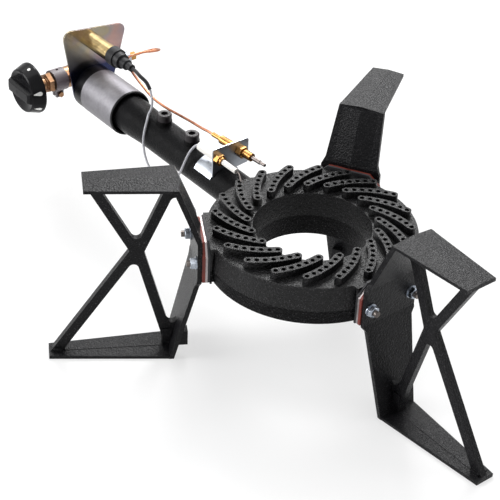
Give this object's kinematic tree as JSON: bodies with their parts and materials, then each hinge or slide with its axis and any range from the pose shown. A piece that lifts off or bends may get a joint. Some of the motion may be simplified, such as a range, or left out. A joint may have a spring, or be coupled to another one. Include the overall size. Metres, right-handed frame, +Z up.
{
  "type": "cast iron ring gas burner",
  "caption": "Cast iron gas ring with swirling flame ribs on three pan legs, fed by a mixing tube with a tap, a flame-failure probe and a piezo igniter.",
  "frame": {"origin": "on the ring's axis, at the floor that the legs stand on", "axes": "+Z up along the ring's axis; -Y from the ring along the mixing tube to the tap; +X towards the knob"},
  "size_m": [0.445, 0.6931, 0.1954],
  "materials": {
    "cast_black": "fine cast grain, dark coating",
    "tube_black": "fine cast grain, dark coating",
    "leg_grey": "fine cast grain, graphite coating",
    "plug_black": "dark coating",
    "backing": "dark gasket sheet",
    "spacer": "satin",
    "gasket": "red gasket sheet",
    "stud": "dark oiled thread",
    "zinc": "bluish zinc",
    "sleeve_black": "satin black",
    "foil": "bare foil, satin",
    "passivated": "yellow passivated zinc",
    "gold_tube": "yellow passivated zinc",
    "brass": "machined",
    "bronze": "machined, tarnished",
    "black_plastic": "matte",
    "cream_plastic": "matte",
    "spring_steel": "bright",
    "black_rubber": "matte",
    "wire_grey": "silicone sheath",
    "bracket_steel": "bright zinc",
    "porcelain": "unglazed white",
    "copper": "drawn copper",
    "strap_grey": "satin grey",
    "knob_black": "gloss black"
  },
  "bodies": {
    "burner": {"burner_ring": "cast_black", "mixing_tube": "tube_black", "leg_front": "leg_grey", "leg_left": "leg_grey", "leg_right": "leg_grey", "tube_plugs": "plug_black", "leg_backings": "backing", "leg_spacers": "spacer", "leg_gaskets": "gasket", "leg_studs": "stud", "leg_washers": "zinc", "leg_nuts": "zinc", "air_sleeve": "sleeve_black", "foil_label": "foil", "mounting_plate": "passivated", "igniter_case": "gold_tube", "plate_locknut": "brass", "electrode_nut": "brass", "thermocouple_body": "brass", "thermocouple_nut": "brass", "injector": "brass", "lead_nut": "brass", "valve_body": "bronze", "inlet_nipple": "bronze", "bonnet_nut": "bronze", "strap_screw": "bronze", "igniter_nut": "black_plastic", "igniter_striker": "cream_plastic", "igniter_spring": "spring_steel", "stem_spring": "spring_steel", "igniter_boot": "black_rubber", "wire_sleeve": "black_rubber", "bonnet_seal": "black_rubber", "ignition_wire": "wire_grey", "probe_bracket": "bracket_steel", "bracket_screw": "bracket_steel", "electrode_rod": "bracket_steel", "thermocouple_tip": "bracket_steel", "magnet_unit": "bracket_steel", "electrode_ceramic": "porcelain", "thermocouple_lead": "copper", "valve_strap": "strap_grey"},
    "plug": {"valve_plug": "bronze"},
    "control": {"knob": "knob_black", "valve_stem": "spring_steel"},
    "safety": {"safety_disc": "black_rubber"},
    "button": {"igniter_button": "black_plastic"}
  },
  "joints": [
    {"name": "valve_turn", "type": "hinge", "parent": "burner", "child": "plug", "pos_m": [0, -0.41, 0.1105], "axis": [1, 0, 0], "range_deg": [0, 130]},
    {"name": "knob_push", "type": "slide", "parent": "plug", "child": "control", "axis": [-1, 0, 0], "range_m": [0, 0.004], "stiffness_N_per_m": 800, "springref_m": -0.004, "deforming": ["stem_spring"]},
    {"name": "safety_slide", "type": "slide", "parent": "burner", "child": "safety", "axis": [-1, 0, 0], "range_m": [0, 0.004], "stiffness_N_per_m": 200},
    {"name": "igniter_push", "type": "slide", "parent": "burner", "child": "button", "axis": [0, 1, 0], "range_m": [0, 0.005], "stiffness_N_per_m": 1000, "springref_m": -0.003, "deforming": ["igniter_spring"]}
  ],
  "couplings": [
    {"joint": "safety_slide", "follows": "knob_push", "ratio": 1}
  ]
}
